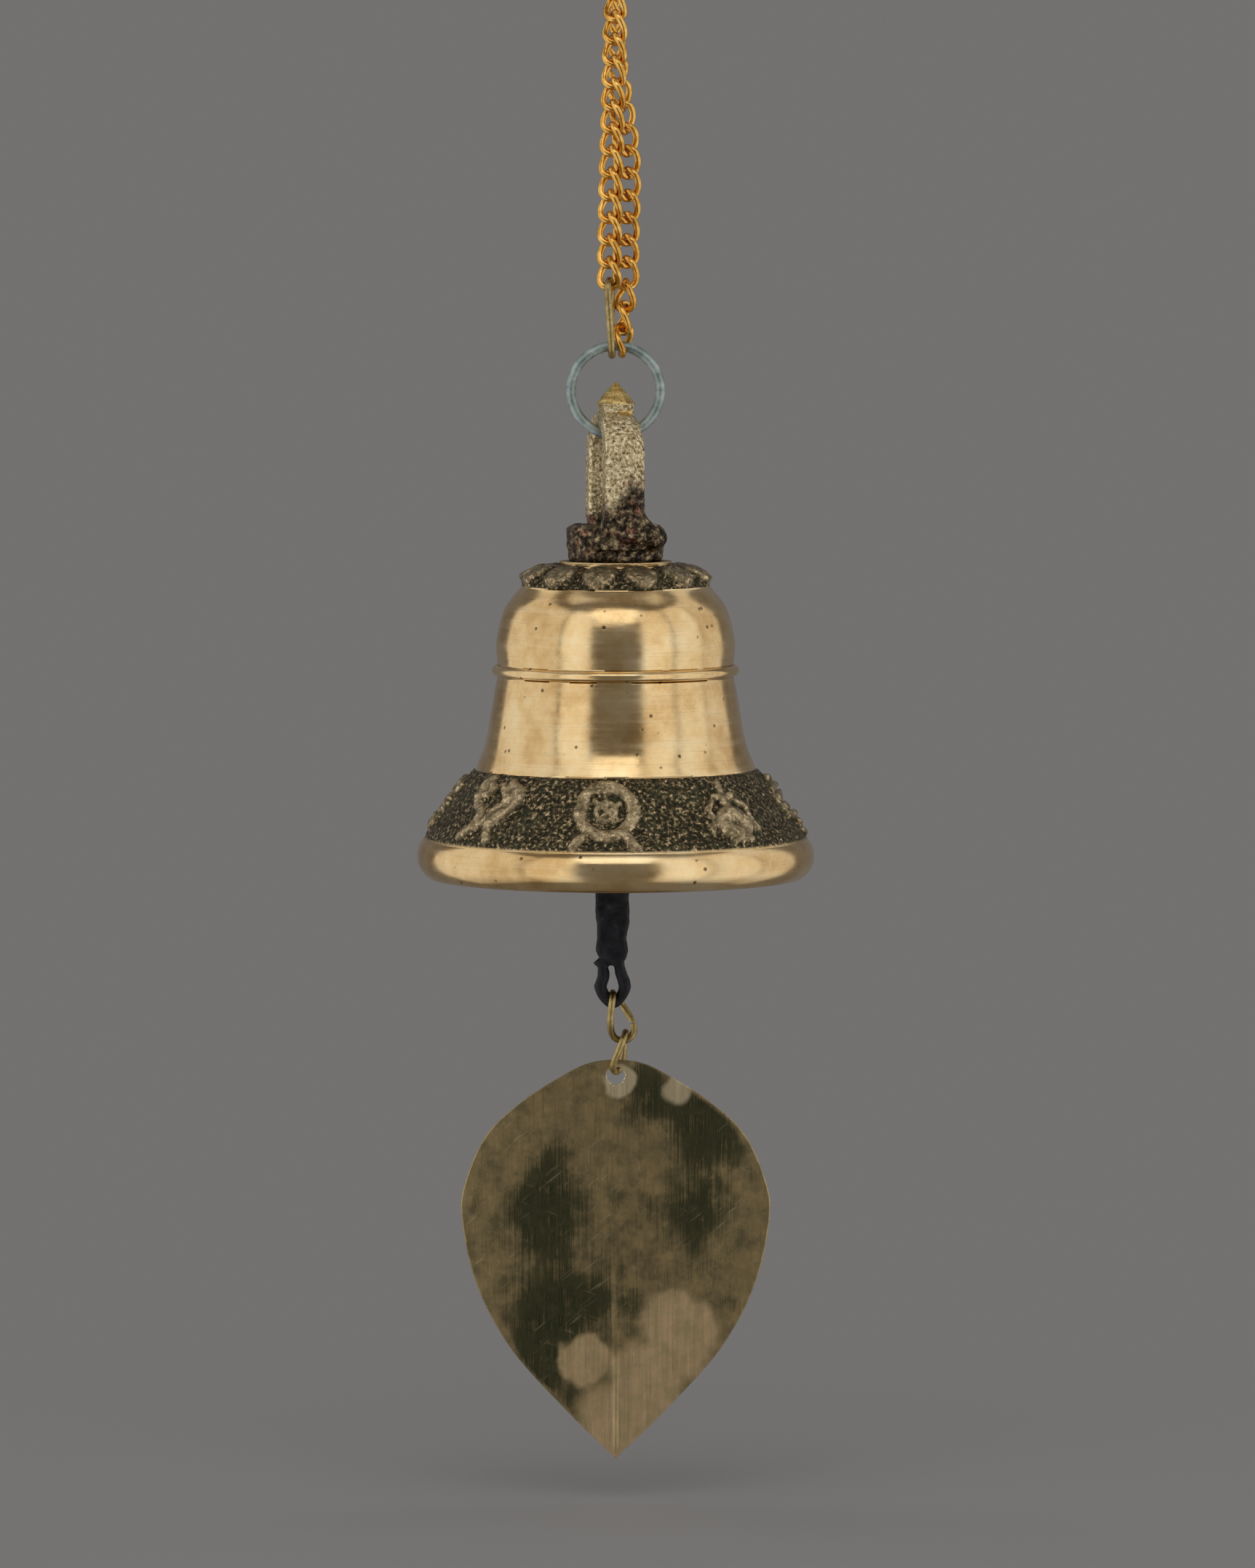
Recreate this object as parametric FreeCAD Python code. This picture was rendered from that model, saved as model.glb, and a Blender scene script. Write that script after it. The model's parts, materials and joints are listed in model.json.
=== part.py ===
import FreeCAD, Part
import math
import os

from FreeCAD import Placement, Rotation, Vector

# A small hanging temple bell on a doubled curb chain, with a clapper and a wind leaf.
# Millimetres, +Z up, front towards -Y. Every piece is modelled with z = 0 at the bell's
# mouth and is moved down when it is written, so that the origin of the finished part is the
# point where the chain's top link bears on its hook.

# Bell body
MOUTH_R = 40.2
LIP_BOTTOM_R = 37.8
LIP_WIDEST_Z = 3.6
LIP_TOP_R = 38.6
LIP_TOP_Z = 8.1
LIP_INNER_R = 34.4
WAIST_R = 28.4
WAIST_Z = 21.9
BEAD_Z = 41.9
BEAD_R = 23.9
BEAD_WIRE = 1.1
DOME_R = 24.1
DOME_WIDEST_Z = 48.0
SHOULDER_R = 19.0
SHOULDER_Z = 59.0
FLANGE_R = 11.4
FLANGE_THICKNESS = 0.8
CROWN_Z = 64.0
CROWN_THICKNESS = 4.0

# Raised emblems on the dark band
EMBLEM_COUNT = 8
EMBLEM_R = 6.6
EMBLEM_Z = 14.6
EMBLEM_RELIEF = 0.7
EMBLEM_START_DEG = -93.0

# Handle
COLLAR_TOP_Z = 71.2
COLLAR_R = 10.0
PRONG_WIDTH = 8.4
PRONG_THICKNESS = 4.0
EYE_DEPTH = 10.0
EYE_TOP_Z = 90.45
EYE_BOTTOM_Z = 70.6
SHOULDER_TOP_Z = 92.9
BAND_Z = 94.4
BAND_WIDTH = 7.0
BAND_HEIGHT = 1.5
TIP_Z = 100.0
HANDLE_YAW = 14.0
BRIDGE_ROUND_R = 5.0

# Steel ring
RING_OUTER_R = 10.0
RING_WIRE = 2.0
RUNNING_GAP = 0.07

# Chain
LINK_WIRE = 1.35
LINK_PITCH = 4.47
LINK_HALF_WIDTH = 2.12
LINK_TWIST = -90.0
LINK_GAP = 0.14
LEVELS = 15
LEVELS_BESIDE_CONNECTOR = 3
FRONT_FOOT_SPREAD = 2.62
BACK_FOOT_SPREAD = 1.16
HOOK_SPREAD = 7.1
FRONT_YAW = -40.0
CONNECTOR_WIRE = 1.44
CONNECTOR_HALF_WIDTH = 2.12
CONNECTOR_TWIST = -14.0
CONNECTOR_YAW = 86.0
CONNECTOR_FOOT_X = -0.8
BACK_FOOT_X = 1.34
BACK_FOOT_YAWS = (-53.5, -85.5, -117.0)

# Clapper and its staple
STAPLE_WIRE = 2.4
STAPLE_Z = 50.0
STAPLE_HALF_WIDTH = 5.6
CLAPPER_EYE_R = 4.3
CLAPPER_EYE_HOLE_R = 1.95
CLAPPER_EYE_WIDTH = 5.0
CLAPPER_THICKNESS = 3.4
CLAPPER_X = -0.6
HOOK_WIRE = 2.35
HOOK_BOTTOM_Z = -26.9
HOOK_HALF_WIDTH = 2.42

# Drop links and leaf
DROP_WIRE = 1.4
DROP_GAP = 0.2
UPPER_DROP_SPAN = 10.0
UPPER_DROP_FOOT_X = 2.0
UPPER_DROP_TWIST = 96.0
UPPER_DROP_YAW = 44.0
UPPER_DROP_OPENING = 0.5
LOWER_DROP_YAW = 76.0
LOWER_DROP_TWIST = 30.0
DROP_HALF_WIDTH = 2.4
LOWER_DROP_SPAN = 8.3
LEAF_THICKNESS = 0.8
LEAF_LENGTH = 81.6
LEAF_HALF_WIDTH = 31.3
LEAF_HOLE_R = 1.75
LEAF_HOLE_BELOW_TOP = 3.3
LEAF_GAP = 0.3
LEAF_RIB_WIDTH = 1.6
LEAF_RIB_HEIGHT = 0.5

# Heights that follow from the sizes above
ring_mean_r = RING_OUTER_R - RING_WIRE / 2
ring_z = EYE_TOP_Z - RUNNING_GAP - RING_WIRE / 2 + ring_mean_r
ring_top_z = ring_z + ring_mean_r
link_span = LINK_PITCH + LINK_WIRE + LINK_GAP


def spline(points, start=None, finish=None):
    """Edge through the points, with optional end directions."""
    curve = Part.BSplineCurve()
    if start is None:
        curve.interpolate(points)
    else:
        curve.interpolate(points, InitialTangent=start, FinalTangent=finish)
    return curve.toShape()


def profile_point(radius, z):
    return Vector(radius, 0, z)


def line(a, b):
    return Part.LineSegment(a, b).toShape()


def arc(a, b, c):
    return Part.Arc(a, b, c).toShape()


def turned(edges):
    """Solid of revolution about Z of a closed outline in the XZ plane."""
    face = Part.Face(Part.Wire(edges))
    return face.revolve(Vector(0, 0, 0), Vector(0, 0, 1), 360)


def wire_solid(route, wire_d):
    """Round wire of the given diameter along one open edge."""
    first = route.FirstParameter
    section = Part.Circle(route.valueAt(first), route.tangentAt(first), wire_d / 2)
    return Part.Wire([route]).makePipeShell([Part.Wire([section.toShape()])], True, False)


def oval_point(span, half_width, share):
    """Point on a flat oval in the XZ plane: two straight sides and two half circles."""
    side = span / 2 - half_width
    bend = math.pi * half_width
    s = share * (4 * side + 2 * bend)
    if s < side:
        return half_width, s
    if s < side + bend:
        turn = (s - side) / half_width
        return half_width * math.cos(turn), side + half_width * math.sin(turn)
    if s < 3 * side + bend:
        return -half_width, 2 * side + bend - s
    if s < 3 * side + 2 * bend:
        turn = math.pi + (s - 3 * side - bend) / half_width
        return half_width * math.cos(turn), half_width * math.sin(turn) - side
    return half_width, s - 4 * side - 2 * bend


def rounded(points, first, count):
    """Smooth open wire past `count` corners of a closed polygon, from one side's middle to another's.

    Each corner is one arc that starts and ends at equal distances from it. A corner that hardly
    turns is passed straight.
    """
    total = len(points)
    middles = [(points[i] + points[(i + 1) % total]) / 2 for i in range(total)]
    edges = []
    here = middles[(first - 1) % total]
    for i in range(first, first + count):
        corner = points[i % total]
        back = middles[(i - 1) % total] - corner
        ahead = middles[i % total] - corner
        reach = min(back.Length, ahead.Length)
        back.normalize()
        ahead.normalize()
        inward = back + ahead
        if inward.Length < 1e-3:
            continue
        inward.normalize()
        half_angle = math.acos(back.dot(ahead)) / 2
        radius = reach * math.tan(half_angle)
        crest = corner + inward * (radius / math.sin(half_angle) - radius)
        start = corner + back * reach
        if (start - here).Length > 1e-5:
            edges.append(line(here, start))
        here = corner + ahead * reach
        edges.append(arc(start, crest, here))
    end = middles[(first + count - 1) % total]
    if (end - here).Length > 1e-5:
        edges.append(line(here, end))
    return Part.Wire(edges)


def link_solid(span, half_width, wire_d, twist_deg, corners=12):
    """Oval link about the origin, long axis along Z, twisted about that axis.

    span is the distance between the wire's centre at the top and at the bottom. The link lies
    in the XZ plane at its middle.
    """
    straight = span - 2 * half_width
    bend_step = (2 * straight + 2 * math.pi * half_width) / corners / half_width
    outer_half_width = half_width / math.cos(bend_step / 2)
    points = []
    for i in range(corners):
        x, z = oval_point(straight + 2 * outer_half_width, outer_half_width, (i + 0.5) / corners)
        twist = math.radians(twist_deg) * z / span
        points.append(Vector(x * math.cos(twist), x * math.sin(twist), z))
    halves = []
    for first in (0, corners // 2):
        route = rounded(points, first, corners // 2)
        start = route.Edges[0]
        section = Part.Circle(start.valueAt(start.FirstParameter),
                              start.tangentAt(start.FirstParameter), wire_d / 2)
        halves.append(route.makePipeShell([Part.Wire([section.toShape()])], True, False))
    return halves[0].fuse(halves[1])


def placed(shape, top, bottom, yaw_deg):
    """Copy of a link with its long axis on the line from bottom to top, yawed about it."""
    upright = Rotation(Vector(0, 0, 1), yaw_deg)
    lean = Rotation(Vector(0, 0, 1), top - bottom)
    moved = shape.copy()
    moved.Placement = Placement((top + bottom) / 2, lean.multiply(upright))
    return moved


def bell_body():
    """Cast bell: lip, flaring band, waist, bead, dome, flat crown, and eight raised emblems."""
    lip = arc(profile_point(LIP_BOTTOM_R, 0), profile_point(MOUTH_R, LIP_WIDEST_Z),
              profile_point(LIP_TOP_R, LIP_TOP_Z))
    flare = spline([profile_point(LIP_TOP_R, LIP_TOP_Z), profile_point(34.9, 12.9),
                    profile_point(31.3, 18.0), profile_point(WAIST_R, WAIST_Z)])
    bead_low = profile_point(BEAD_R, BEAD_Z - BEAD_WIRE)
    bead_high = profile_point(BEAD_R, BEAD_Z + BEAD_WIRE)
    waist = spline([profile_point(WAIST_R, WAIST_Z), profile_point(26.4, 27.2),
                    profile_point(25.1, 34.0), bead_low])
    bead = arc(bead_low, profile_point(BEAD_R + BEAD_WIRE, BEAD_Z), bead_high)
    dome = spline([bead_high, profile_point(DOME_R, DOME_WIDEST_Z), profile_point(22.5, 54.3),
                   profile_point(SHOULDER_R, SHOULDER_Z), profile_point(15.2, 61.6),
                   profile_point(FLANGE_R, CROWN_Z - FLANGE_THICKNESS - 0.5)])
    flange_foot = profile_point(FLANGE_R, CROWN_Z - FLANGE_THICKNESS - 0.5)
    flange_top = profile_point(FLANGE_R, CROWN_Z)
    ceiling = profile_point(0, CROWN_Z - CROWN_THICKNESS)
    inside = spline([ceiling, profile_point(10.0, 59.0), profile_point(17.6, 55.0),
                     profile_point(21.0, 48.0), profile_point(21.9, 38.0),
                     profile_point(23.6, 27.0), profile_point(27.0, 19.5),
                     profile_point(32.4, 10.5), profile_point(LIP_INNER_R, 4.0),
                     profile_point(LIP_INNER_R + 0.4, 0)],
                    Vector(1, 0, 0), Vector(0, 0, -1))
    rim = line(profile_point(LIP_INNER_R + 0.4, 0), profile_point(LIP_BOTTOM_R, 0))
    body = turned([lip, flare, waist, bead, dome, line(flange_foot, flange_top),
                   line(flange_top, profile_point(0, CROWN_Z)),
                   line(profile_point(0, CROWN_Z), ceiling), inside, rim])
    return body.fuse(emblems())


def emblems():
    """Eight round bosses square to the flaring band, standing a little proud of it."""
    slope = math.atan2(LIP_TOP_R - WAIST_R, WAIST_Z - LIP_TOP_Z)
    band_r = 33.55
    outward = Vector(math.cos(slope), 0, math.sin(slope))
    base = Vector(band_r, 0, EMBLEM_Z) - outward * 2.2
    boss = Part.makeCylinder(EMBLEM_R, 2.2 + EMBLEM_RELIEF, base, outward)
    bosses = []
    for i in range(EMBLEM_COUNT):
        turned_boss = boss.copy()
        turned_boss.rotate(Vector(0, 0, 0), Vector(0, 0, 1),
                           EMBLEM_START_DEG + i * 360 / EMBLEM_COUNT)
        bosses.append(turned_boss)
    return Part.makeCompound(bosses)


def clapper_staple():
    """Wire staple let into the crown, with its bar along X."""
    bend_r = 3.0
    leg_top = CROWN_Z - 1.5
    left = -STAPLE_HALF_WIDTH
    right = STAPLE_HALF_WIDTH
    corner = bend_r * (1 - math.sqrt(0.5))
    route = [
        line(Vector(left, 0, leg_top), Vector(left, 0, STAPLE_Z + bend_r)),
        arc(Vector(left, 0, STAPLE_Z + bend_r), Vector(left + corner, 0, STAPLE_Z + corner),
            Vector(left + bend_r, 0, STAPLE_Z)),
        line(Vector(left + bend_r, 0, STAPLE_Z), Vector(right - bend_r, 0, STAPLE_Z)),
        arc(Vector(right - bend_r, 0, STAPLE_Z), Vector(right - corner, 0, STAPLE_Z + corner),
            Vector(right, 0, STAPLE_Z + bend_r)),
        line(Vector(right, 0, STAPLE_Z + bend_r), Vector(right, 0, leg_top)),
    ]
    section = Part.Circle(Vector(left, 0, leg_top), Vector(0, 0, 1), STAPLE_WIRE / 2)
    return Part.Wire(route).makePipeShell([Part.Wire([section.toShape()])], True, False)


def handle():
    """Brazed-on casting: collar, two prongs closed by a bridge, square band, pointed tip."""
    collar = turned([
        line(profile_point(0, CROWN_Z), profile_point(COLLAR_R - 0.5, CROWN_Z)),
        spline([profile_point(COLLAR_R - 0.5, CROWN_Z), profile_point(COLLAR_R, 66.4),
                profile_point(COLLAR_R + 0.1, 68.7), profile_point(COLLAR_R - 1.9, 71.0)]),
        line(profile_point(COLLAR_R - 1.9, 71.0), profile_point(0, COLLAR_TOP_Z)),
        line(profile_point(0, COLLAR_TOP_Z), profile_point(0, CROWN_Z)),
    ])
    half_depth = EYE_DEPTH / 2 + PRONG_THICKNESS
    arch_z = SHOULDER_TOP_Z - 5.6

    def side(y, z):
        return Vector(-PRONG_WIDTH / 2, y, z)

    outline = [
        line(side(-half_depth, COLLAR_TOP_Z - 3), side(half_depth, COLLAR_TOP_Z - 3)),
        line(side(half_depth, COLLAR_TOP_Z - 3), side(half_depth, arch_z)),
        arc(side(half_depth, arch_z), side(half_depth - 1.9, SHOULDER_TOP_Z - 1.2),
            side(BAND_WIDTH / 2, BAND_Z)),
        line(side(BAND_WIDTH / 2, BAND_Z), side(-BAND_WIDTH / 2, BAND_Z)),
        arc(side(-BAND_WIDTH / 2, BAND_Z), side(1.9 - half_depth, SHOULDER_TOP_Z - 1.2),
            side(-half_depth, arch_z)),
        line(side(-half_depth, arch_z), side(-half_depth, COLLAR_TOP_Z - 3)),
    ]
    loop = Part.Face(Part.Wire(outline)).extrude(Vector(PRONG_WIDTH, 0, 0))
    eye_r = EYE_DEPTH / 2
    eye = Part.makeBox(2 * PRONG_WIDTH, EYE_DEPTH, EYE_TOP_Z - eye_r - EYE_BOTTOM_Z,
                       Vector(-PRONG_WIDTH, -eye_r, EYE_BOTTOM_Z))
    arch = Part.makeCylinder(eye_r, 2 * PRONG_WIDTH,
                             Vector(-PRONG_WIDTH, 0, EYE_TOP_Z - eye_r), Vector(1, 0, 0))
    loop = loop.cut(eye.fuse(arch)).cut(bridge_relief())
    band_base = Vector(-BAND_WIDTH / 2, -BAND_WIDTH / 2, SHOULDER_TOP_Z - 0.6)
    band = Part.makeBox(BAND_WIDTH, BAND_WIDTH, BAND_Z + BAND_HEIGHT - band_base.z, band_base)
    whole = collar.fuse([loop.cut(shoulder_trim()), band, pointed_tip()])
    whole.rotate(Vector(0, 0, 0), Vector(0, 0, 1), HANDLE_YAW)
    return whole


def bridge_relief():
    """Material to leave out under the bridge so that it rounds over the ring's wire."""
    width = 2 * PRONG_WIDTH
    block = Part.makeBox(width, EYE_DEPTH, 8, Vector(-PRONG_WIDTH, -EYE_DEPTH / 2, EYE_TOP_Z - 5))
    rounded = Part.makeCylinder(BRIDGE_ROUND_R, EYE_DEPTH + 2,
                                Vector(0, -EYE_DEPTH / 2 - 1, EYE_TOP_Z + BRIDGE_ROUND_R),
                                Vector(0, 1, 0))
    return block.cut(rounded)


def shoulder_trim():
    """Two wedges that narrow the prongs' width to the square band's."""
    wedges = []
    for sign in (-1, 1):
        corners = [Vector(sign * PRONG_WIDTH / 2, -20, SHOULDER_TOP_Z - 0.4),
                   Vector(sign * BAND_WIDTH / 2, -20, BAND_Z + 0.01),
                   Vector(sign * PRONG_WIDTH, -20, BAND_Z + 0.01),
                   Vector(sign * PRONG_WIDTH, -20, SHOULDER_TOP_Z - 0.4)]
        wedges.append(Part.Face(Part.makePolygon(corners + corners[:1])).extrude(Vector(0, 40, 0)))
    return Part.makeCompound(wedges)


def pointed_tip():
    """Four-sided point on the band."""
    half = BAND_WIDTH / 2
    base_z = BAND_Z + BAND_HEIGHT
    base = Part.makePolygon([Vector(-half, -half, base_z), Vector(half, -half, base_z),
                             Vector(half, half, base_z), Vector(-half, half, base_z),
                             Vector(-half, -half, base_z)])
    flat = 0.5
    top = Part.makePolygon([Vector(-flat, -flat, TIP_Z), Vector(flat, -flat, TIP_Z),
                            Vector(flat, flat, TIP_Z), Vector(-flat, flat, TIP_Z),
                            Vector(-flat, -flat, TIP_Z)])
    return Part.makeLoft([base, top], True, True)


def steel_ring():
    return Part.makeTorus(ring_mean_r, RING_WIRE / 2, Vector(0, 0, ring_z), Vector(0, 1, 0))


def clapper():
    """Forged bar: eye on the staple, flat tapering blade, wire hook bent below it."""
    eye_z = STAPLE_Z - (CLAPPER_EYE_HOLE_R - STAPLE_WIRE / 2 - RUNNING_GAP)
    half_eye = CLAPPER_EYE_WIDTH / 2
    eye = Part.makeCylinder(CLAPPER_EYE_R, CLAPPER_EYE_WIDTH, Vector(-half_eye, 0, eye_z),
                            Vector(1, 0, 0))
    neck_z = eye_z - CLAPPER_EYE_R + 0.6
    widths = [(neck_z, 0, 6.4), (0, CLAPPER_X, 7.2), (-12.0, CLAPPER_X, 6.0),
              (-15.0, CLAPPER_X, 6.4), (-17.6, CLAPPER_X, 2.4)]
    right = [Vector(x + w / 2, -CLAPPER_THICKNESS / 2, z) for z, x, w in widths]
    left = [Vector(x - w / 2, -CLAPPER_THICKNESS / 2, z) for z, x, w in reversed(widths)]
    blade = Part.Face(Part.makePolygon(right + left + right[:1]))
    blade = blade.extrude(Vector(0, CLAPPER_THICKNESS, 0))
    hole = Part.makeCylinder(CLAPPER_EYE_HOLE_R, CLAPPER_EYE_WIDTH + 2,
                             Vector(-half_eye - 1, 0, eye_z), Vector(1, 0, 0))
    return eye.fuse([blade, clapper_hook()]).cut(hole)


def clapper_hook():
    """Hook of round wire in the XZ plane, closed back against the blade's left edge."""
    foot_z = HOOK_BOTTOM_Z + HOOK_WIRE / 2
    side_z = foot_z + 2.7
    neck = Vector(CLAPPER_X + 0.9, 0, -16.6)
    right = Vector(CLAPPER_X + HOOK_HALF_WIDTH, 0, side_z)
    bottom = Vector(CLAPPER_X, 0, foot_z)
    left = Vector(CLAPPER_X - HOOK_HALF_WIDTH, 0, side_z)
    end = Vector(CLAPPER_X - 1.9, 0, -18.0)
    route = spline([neck, Vector(CLAPPER_X + 1.75, 0, -19.8), right, bottom, left,
                    Vector(CLAPPER_X - 1.95, 0, -20.2), end])
    return wire_solid(route, HOOK_WIRE)


def leaf(hole_centre):
    """Sheet leaf hanging in the XZ plane, with a raised midrib on both faces."""
    top_z = hole_centre.z + LEAF_HOLE_BELOW_TOP
    x0 = hole_centre.x

    def edge_points(sign):
        stations = [(0, 0), (2.8, 9.5), (8.4, 18.7), (15.4, 26.1), (24.7, 30.4),
                    (32.5, LEAF_HALF_WIDTH), (46.1, 28.3), (59.5, 21.1), (72.4, 9.5),
                    (LEAF_LENGTH, 0)]
        return [Vector(x0 + sign * w, -LEAF_THICKNESS / 2, top_z - d) for d, w in stations]

    right = spline(edge_points(1))
    left = spline(edge_points(-1))
    sheet = Part.Face(Part.Wire([right, left])).extrude(Vector(0, LEAF_THICKNESS, 0))
    hole = Part.makeCylinder(LEAF_HOLE_R, 2, Vector(x0, -1, hole_centre.z), Vector(0, 1, 0))
    half_rib = LEAF_RIB_WIDTH / 2
    crest = LEAF_THICKNESS / 2 + LEAF_RIB_HEIGHT
    rib_top = Vector(x0, 0, top_z - LEAF_LENGTH * 0.45)
    rib_foot = Vector(x0, 0, top_z - LEAF_LENGTH + 3)
    section = Part.makePolygon([
        rib_top + Vector(-half_rib, 0, 0), rib_top + Vector(0, -crest, 0),
        rib_top + Vector(half_rib, 0, 0), rib_top + Vector(0, crest, 0),
        rib_top + Vector(-half_rib, 0, 0)])
    rib = Part.Face(section).extrude(rib_foot - rib_top)
    return sheet.cut(hole).fuse(rib)


def level_contacts():
    """Where the links of the two strands touch, from the lowest level to the highest.

    Seen from above, the strands stand one behind the other round the hook, and wind until
    they lie partly side by side above the steel ring.
    """
    foot_z = ring_top_z - RING_WIRE / 2 - LINK_GAP / 2 + LEVELS_BESIDE_CONNECTOR * LINK_PITCH
    front = []
    back = []
    for level in range(LEVELS):
        share = level / (LEVELS - 1)
        front_x = -0.62 * (1 + math.cos(math.pi * share))
        winding = min(1.0, max(0.0, (level - 4.5) / 7))
        sideways = 1.67 * (1 + math.cos(math.pi * winding))
        closing = 2.9 * share ** 6
        front_spread = FRONT_FOOT_SPREAD + (HOOK_SPREAD - FRONT_FOOT_SPREAD) * share - closing
        back_spread = BACK_FOOT_SPREAD + (HOOK_SPREAD - BACK_FOOT_SPREAD) * share - closing
        z = foot_z + level * LINK_PITCH
        front.append(Vector(front_x, -front_spread, z))
        back.append(Vector(front_x + sideways, back_spread, z))
    return front, back


def front_yaw(level):
    """Turn of the front strand's link whose upper contact is at this level."""
    return FRONT_YAW - 25 * max(0.0, (level - 12) / 3)


def back_yaw(level):
    """Turn of the back strand's link whose upper contact is at this level."""
    return -20 + 135 * max(0.0, (level - 3) / 12) ** 1.25


def chain():
    """The top link over the hook and the two strands that hang from it."""
    template = link_solid(link_span, LINK_HALF_WIDTH, LINK_WIRE, LINK_TWIST)
    front, back = level_contacts()
    hook_reach = LINK_PITCH - (LINK_WIRE + LINK_GAP) / 2
    overhang = back[-1].y - link_span / 2
    top_z = front[-1].z + math.sqrt(hook_reach ** 2 - overhang ** 2)
    parts = {}
    for contacts, sign in ((front, -1), (back, 1)):
        wire_centre = Vector(0, sign * link_span / 2, top_z)
        upward = (wire_centre - contacts[-1]).normalize()
        contacts.append(contacts[-1] + upward * LINK_PITCH)
    flat_link = link_solid(link_span, LINK_HALF_WIDTH, LINK_WIRE, 0)
    parts["chain_link_top"] = placed(flat_link, Vector(0, -1, top_z), Vector(0, 1, top_z), 0)
    for level in range(LEVELS, 0, -1):
        number = "%02d" % (LEVELS + 1 - level)
        parts["chain_link_a" + number] = placed(template, front[level], front[level - 1],
                                                front_yaw(level))
        parts["chain_link_b" + number] = placed(template, back[level], back[level - 1],
                                                back_yaw(level))
    return parts, front, back, top_z


def foot_of_strands(front_end, back_end):
    """Connecting link under the front strand and the back strand's last links, to the ring."""
    low_z = ring_top_z - RING_WIRE / 2 - LINK_GAP / 2
    front_foot = Vector(CONNECTOR_FOOT_X, 0, low_z - 0.035)
    back_foot = Vector(BACK_FOOT_X, 0, low_z - 0.1)
    span = (front_end - front_foot).Length + CONNECTOR_WIRE + LINK_GAP
    connector = link_solid(span, CONNECTOR_HALF_WIDTH, CONNECTOR_WIRE, CONNECTOR_TWIST, 20)
    parts = {"connecting_link": placed(connector, front_end, front_foot, CONNECTOR_YAW)}
    template = link_solid(link_span, LINK_HALF_WIDTH, LINK_WIRE, LINK_TWIST)
    step = (back_foot - back_end) / LEVELS_BESIDE_CONNECTOR
    for i, yaw in enumerate(BACK_FOOT_YAWS):
        upper = back_end + step * i
        parts["chain_link_b%02d" % (LEVELS + 1 + i)] = placed(template, upper, upper + step, yaw)
    return parts


def drop_links():
    """Two wire links between the clapper's hook and the leaf, and the leaf's hole centre."""
    upper_top = Vector(CLAPPER_X, 0, HOOK_BOTTOM_Z + HOOK_WIRE + DROP_GAP + DROP_WIRE / 2)
    fall = math.sqrt(UPPER_DROP_SPAN ** 2 - (UPPER_DROP_FOOT_X - CLAPPER_X) ** 2)
    upper_foot = Vector(UPPER_DROP_FOOT_X, 0, upper_top.z - fall)
    upper = link_solid(UPPER_DROP_SPAN, DROP_HALF_WIDTH, DROP_WIRE, UPPER_DROP_TWIST, 16)
    gap = Part.makeBox(2 * DROP_WIRE, 2 * DROP_WIRE, UPPER_DROP_OPENING,
                       Vector(DROP_HALF_WIDTH - DROP_WIRE, -DROP_WIRE, -UPPER_DROP_SPAN * 0.22))
    upper = placed(upper.cut(gap), upper_top, upper_foot, UPPER_DROP_YAW)
    lower_top = upper_foot + Vector(0, 0, DROP_WIRE + DROP_GAP)
    fall = math.sqrt(LOWER_DROP_SPAN ** 2 - lower_top.x ** 2)
    lower_foot = Vector(0, 0, lower_top.z - fall)
    lower = link_solid(LOWER_DROP_SPAN, DROP_HALF_WIDTH, DROP_WIRE, LOWER_DROP_TWIST, 16)
    hole = lower_foot + Vector(0, 0, DROP_WIRE / 2 + LEAF_GAP - LEAF_HOLE_R)
    parts = {"upper_drop_link": upper,
             "lower_drop_link": placed(lower, lower_top, lower_foot, LOWER_DROP_YAW)}
    return parts, hole


def build():
    staple = clapper_staple()
    links, front, back, top_z = chain()
    drops, leaf_hole = drop_links()
    parts = {"bell_body": bell_body().cut(staple), "clapper_staple": staple}
    parts["handle"] = handle()
    parts["clapper"] = clapper()
    parts["steel_ring"] = steel_ring()
    parts.update(links)
    parts.update(foot_of_strands(front[0], back[0]))
    parts.update(drops)
    parts["leaf"] = leaf(leaf_hole)
    hang_height = top_z - LINK_WIRE / 2
    for shape in parts.values():
        shape.translate(Vector(0, 0, -hang_height))
    print("the hang point is", round(hang_height, 4), "mm above the mouth")
    return parts


def main():
    os.makedirs("parts", exist_ok=True)
    for name, shape in build().items():
        print(name, len(shape.Solids), round(shape.Volume, 2), shape.isValid())
        shape.exportStep("parts/" + name + ".step")


main()
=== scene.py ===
import itertools
import json
import math

import bpy
import numpy as np
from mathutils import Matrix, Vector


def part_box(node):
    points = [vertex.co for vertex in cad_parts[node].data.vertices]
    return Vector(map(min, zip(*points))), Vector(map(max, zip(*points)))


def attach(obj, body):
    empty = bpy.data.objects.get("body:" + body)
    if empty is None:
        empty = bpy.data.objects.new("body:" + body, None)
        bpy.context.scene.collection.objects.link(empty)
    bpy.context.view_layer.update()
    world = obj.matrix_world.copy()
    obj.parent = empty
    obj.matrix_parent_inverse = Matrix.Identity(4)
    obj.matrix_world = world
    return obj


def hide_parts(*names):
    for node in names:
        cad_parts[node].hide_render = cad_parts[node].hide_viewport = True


# The bell's looks. Shapes are worked out in millimetres above the mouth of the bell, on its axis,
# and placed by in_frame(). -Y is the front.

MM = 0.001
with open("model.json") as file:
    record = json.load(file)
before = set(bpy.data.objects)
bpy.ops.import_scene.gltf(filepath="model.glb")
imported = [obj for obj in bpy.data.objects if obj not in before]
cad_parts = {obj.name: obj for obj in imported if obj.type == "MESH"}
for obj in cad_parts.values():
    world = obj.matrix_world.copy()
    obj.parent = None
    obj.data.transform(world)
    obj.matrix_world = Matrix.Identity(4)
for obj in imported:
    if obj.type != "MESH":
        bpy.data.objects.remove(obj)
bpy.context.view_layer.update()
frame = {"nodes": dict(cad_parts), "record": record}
mouth_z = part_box("bell_body")[0].z

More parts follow.
